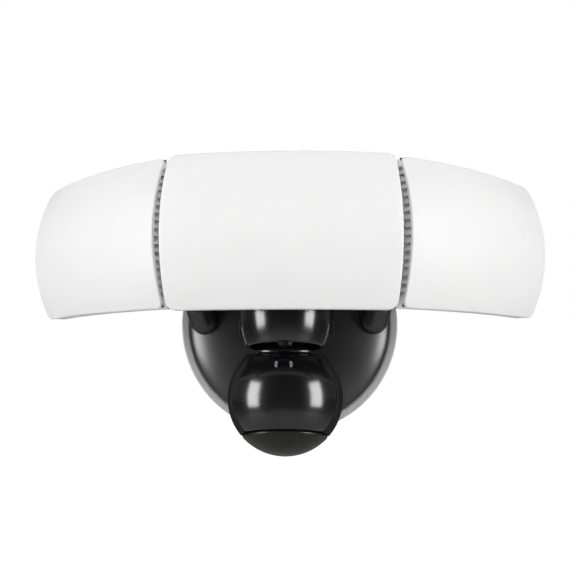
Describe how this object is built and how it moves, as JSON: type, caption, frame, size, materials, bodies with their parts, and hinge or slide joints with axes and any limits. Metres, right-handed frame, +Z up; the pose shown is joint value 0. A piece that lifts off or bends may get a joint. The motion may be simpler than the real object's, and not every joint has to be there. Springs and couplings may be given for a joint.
{
  "type": "floodlight security camera",
  "caption": "Wall-mounted floodlight with wide adjustable opal light heads over a round swivelling camera and motion sensor.",
  "frame": {"origin": "centre of the flat wall face, on the mounting bar's back", "axes": "+Y into the wall, -Y to the front, +X along the long side, +Z up"},
  "size_m": [0.3566, 0.161, 0.1819],
  "materials": {
    "opal_lens": "satin opal acrylic, faintly translucent",
    "heat_sink_grey": "light grey powder coat",
    "housing_black": "fine-textured black plastic",
    "gloss_black": "piano black, polished",
    "base_grey": "satin mid grey",
    "foam_grey": "closed-cell foam",
    "steel": "zinc plated",
    "led_board": "white solder mask",
    "circuit_board": "green solder mask",
    "seal_rubber": "matt",
    "smoke_lens": "smoked olive polyethylene, glossy",
    "lens_glass": "coated glass",
    "button_grey": "matt"
  },
  "bodies": {
    "base": {"wall_gasket": "foam_grey", "base_ring": "base_grey", "mounting_bar": "steel", "canopy": "gloss_black", "canopy_screw_upper": "steel", "canopy_screw_lower": "steel", "center_arm": "gloss_black", "neck_bowl": "gloss_black", "center_tilt_bolt": "steel", "driver_board": "circuit_board", "control_board": "circuit_board", "terminal_block": "button_grey"},
    "left_head": {"left_diffuser": "opal_lens", "left_led_board": "led_board", "left_lens_seal": "seal_rubber", "left_heat_sink": "heat_sink_grey", "left_rear_housing": "housing_black", "left_head_knuckle": "housing_black"},
    "left_arm_assembly": {"left_arm": "housing_black", "left_tilt_bolt": "steel"},
    "left_lock_ring_body": {"left_lock_ring": "housing_black"},
    "center_head": {"center_diffuser": "opal_lens", "center_led_board": "led_board", "center_lens_seal": "seal_rubber", "center_heat_sink": "heat_sink_grey", "center_rear_housing": "housing_black", "center_head_knuckle": "housing_black"},
    "right_head": {"right_diffuser": "opal_lens", "right_led_board": "led_board", "right_lens_seal": "seal_rubber", "right_heat_sink": "heat_sink_grey", "right_rear_housing": "housing_black", "right_head_knuckle": "housing_black"},
    "right_arm_assembly": {"right_arm": "housing_black", "right_tilt_bolt": "steel"},
    "right_lock_ring_body": {"right_lock_ring": "housing_black"},
    "camera_turntable": {"camera_yoke": "housing_black", "pan_nut": "steel"},
    "camera_ball": {"camera_front_cover": "gloss_black", "camera_rear_shell": "gloss_black", "camera_top_cap": "housing_black", "motion_sensor_lens": "smoke_lens", "camera_lens": "lens_glass", "lens_barrel": "housing_black", "camera_board": "circuit_board", "motion_sensor_board": "circuit_board", "speaker": "housing_black", "tilt_pin_left": "steel", "tilt_pin_right": "steel"},
    "reset_key": {"reset_button": "button_grey"}
  },
  "joints": [
    {"name": "left_arm_swivel", "type": "hinge", "parent": "base", "child": "left_arm_assembly", "pos_m": [-0.062, -0.022, 0.005], "axis": [0.2205, 0.6215, -0.7518], "range_deg": [0, 18]},
    {"name": "left_lock_ring_turn", "type": "hinge", "parent": "base", "child": "left_lock_ring_body", "pos_m": [-0.062, -0.022, 0.005], "axis": [-0.2205, -0.6215, 0.7518], "range_deg": [0, 120]},
    {"name": "left_head_tilt", "type": "hinge", "parent": "left_arm_assembly", "child": "left_head", "pos_m": [-0.09699, -0.05997, 0.0348], "axis": [0.7361, -0.6769, 0], "range_deg": [-12, 22]},
    {"name": "center_head_tilt", "type": "hinge", "parent": "base", "child": "center_head", "pos_m": [0, -0.108, 0.0328], "axis": [1, 0, 0], "range_deg": [-3, 12]},
    {"name": "right_arm_swivel", "type": "hinge", "parent": "base", "child": "right_arm_assembly", "pos_m": [0.062, -0.022, 0.005], "axis": [0.2205, -0.6215, 0.7518], "range_deg": [0, 18]},
    {"name": "right_lock_ring_turn", "type": "hinge", "parent": "base", "child": "right_lock_ring_body", "pos_m": [0.062, -0.022, 0.005], "axis": [0.2205, -0.6215, 0.7518], "range_deg": [0, 120]},
    {"name": "right_head_tilt", "type": "hinge", "parent": "right_arm_assembly", "child": "right_head", "pos_m": [0.09699, -0.05997, 0.0348], "axis": [0.7361, 0.6769, 0], "range_deg": [-12, 22]},
    {"name": "camera_pan", "type": "hinge", "parent": "base", "child": "camera_turntable", "pos_m": [0, -0.0825, -0.0524], "axis": [0, 0, 1], "range_deg": [-70, 70]},
    {"name": "camera_tilt", "type": "hinge", "parent": "camera_turntable", "child": "camera_ball", "pos_m": [0, -0.0825, -0.0524], "axis": [1, 0, 0], "range_deg": [-10, 20]},
    {"name": "reset_press", "type": "slide", "parent": "camera_ball", "child": "reset_key", "axis": [0, -1, 0], "range_m": [0, 0.001], "stiffness_N_per_m": 400}
  ]
}
